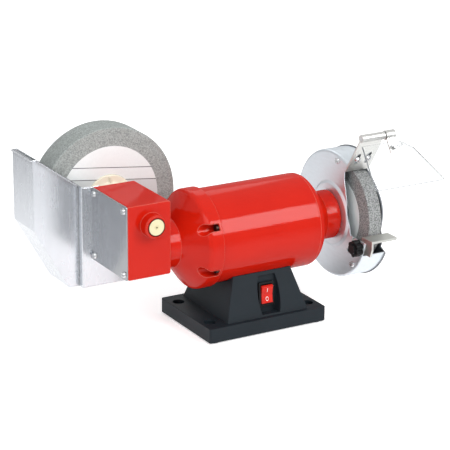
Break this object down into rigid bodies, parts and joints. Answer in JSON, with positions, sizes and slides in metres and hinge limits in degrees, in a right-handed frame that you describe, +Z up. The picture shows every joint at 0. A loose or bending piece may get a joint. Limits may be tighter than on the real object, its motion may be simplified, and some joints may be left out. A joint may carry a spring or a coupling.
{
  "type": "wet and dry bench grinder",
  "caption": "Bench grinder with a fast dry wheel in a sheet guard on one shaft end and a slow wide wet wheel dipping in a metal water trough, driven through a worm gear.",
  "frame": {"origin": "centre of the four bolt holes, on the table under the feet", "axes": "+X along the motor shaft towards the dry wheel, -Y to the front with the switch, +Z up"},
  "size_m": [0.5337, 0.2591, 0.273],
  "materials": {
    "base_plastic": "moulded, fine satin texture",
    "foot_rubber": "matt",
    "black_plastic": "satin",
    "rocker_red": "glossy",
    "capacitor_can": "drawn can",
    "red_paint": "glossy enamel on steel tube",
    "red_casting": "glossy enamel on casting",
    "screw_steel": "bright zinc",
    "lamination": "stacked sheet",
    "winding": "varnished wire",
    "shaft_steel": "turned",
    "cover_alloy": "satin plate",
    "bronze": "turned bronze",
    "beige_plastic": "moulded",
    "wet_stone": "open grain grey",
    "dry_stone": "open grain grey",
    "zinc_sheet": "galvanised sheet",
    "guard_sheet": "satin sheet",
    "flange_steel": "pressed",
    "rest_steel": "galvanised plate",
    "clear_shield": "clear moulded sheet"
  },
  "bodies": {
    "frame": {"base": "base_plastic", "feet": "foot_rubber", "bottom_plate": "zinc_sheet", "cord_inlet": "black_plastic", "switch_frame": "black_plastic", "capacitor": "capacitor_can", "motor_tube": "red_paint", "left_bell": "red_casting", "right_bell": "red_casting", "bell_screws": "screw_steel", "stator": "lamination", "windings": "winding", "bearings": "shaft_steel", "gear_case": "red_casting", "gear_cover": "cover_alloy", "gear_screws": "screw_steel", "wet_bushes": "bronze", "bush_cap": "beige_plastic", "trough": "zinc_sheet", "trough_screws": "screw_steel", "guard": "guard_sheet", "guard_screws": "screw_steel", "guard_cover": "guard_sheet", "cover_screws": "screw_steel", "deflector_screws": "screw_steel"},
    "spindle": {"motor_shaft": "shaft_steel", "rotor": "lamination", "worm": "shaft_steel", "dry_wheel": "dry_stone", "dry_flanges": "flange_steel", "dry_nut": "screw_steel"},
    "wet_spindle": {"wet_shaft": "shaft_steel", "worm_wheel": "bronze", "wet_wheel": "wet_stone", "wet_flanges": "beige_plastic", "wet_nut": "screw_steel"},
    "switch_rocker": {"rocker": "rocker_red"},
    "rest": {"tool_rest": "rest_steel"},
    "rest_clamp": {"rest_knob": "black_plastic"},
    "spark_deflector": {"deflector": "rest_steel", "shield_rod": "shaft_steel"},
    "shield": {"eye_shield": "clear_shield", "shield_clamp": "rest_steel"},
    "wing_screw": {"shield_screw": "screw_steel"}
  },
  "joints": [
    {"name": "spindle_spin", "type": "hinge", "parent": "frame", "child": "spindle", "pos_m": [0, 0, 0.129], "axis": [1, 0, 0], "continuous": true},
    {"name": "wet_spin", "type": "hinge", "parent": "frame", "child": "wet_spindle", "pos_m": [-0.1625, 0, 0.173], "axis": [0, 1, 0], "continuous": true},
    {"name": "rocker_tilt", "type": "hinge", "parent": "frame", "child": "switch_rocker", "pos_m": [0.009, -0.044, 0.04791], "axis": [1, 0, 0], "range_deg": [0, 12]},
    {"name": "rest_slide", "type": "slide", "parent": "frame", "child": "rest", "axis": [0, 1, 0], "range_m": [-0.01, 0.001]},
    {"name": "rest_clamp_turn", "type": "hinge", "parent": "frame", "child": "rest_clamp", "pos_m": [0.135, -0.073, 0.1], "axis": [1, 0, 0], "range_deg": [0, 360]},
    {"name": "deflector_slide", "type": "slide", "parent": "frame", "child": "spark_deflector", "axis": [0, -0.5446, 0.8387], "range_m": [0, 0.008]},
    {"name": "shield_tilt", "type": "hinge", "parent": "spark_deflector", "child": "shield", "pos_m": [0.187, -0.06995, 0.25447], "axis": [1, 0, 0], "range_deg": [-95, 30]},
    {"name": "wing_screw_turn", "type": "hinge", "parent": "shield", "child": "wing_screw", "pos_m": [0.1865, -0.08348, 0.24068], "axis": [0, -0.829, 0.5592], "range_deg": [-180, 180]}
  ],
  "couplings": [
    {"joint": "wet_spin", "follows": "spindle_spin", "ratio": 0.047619}
  ]
}
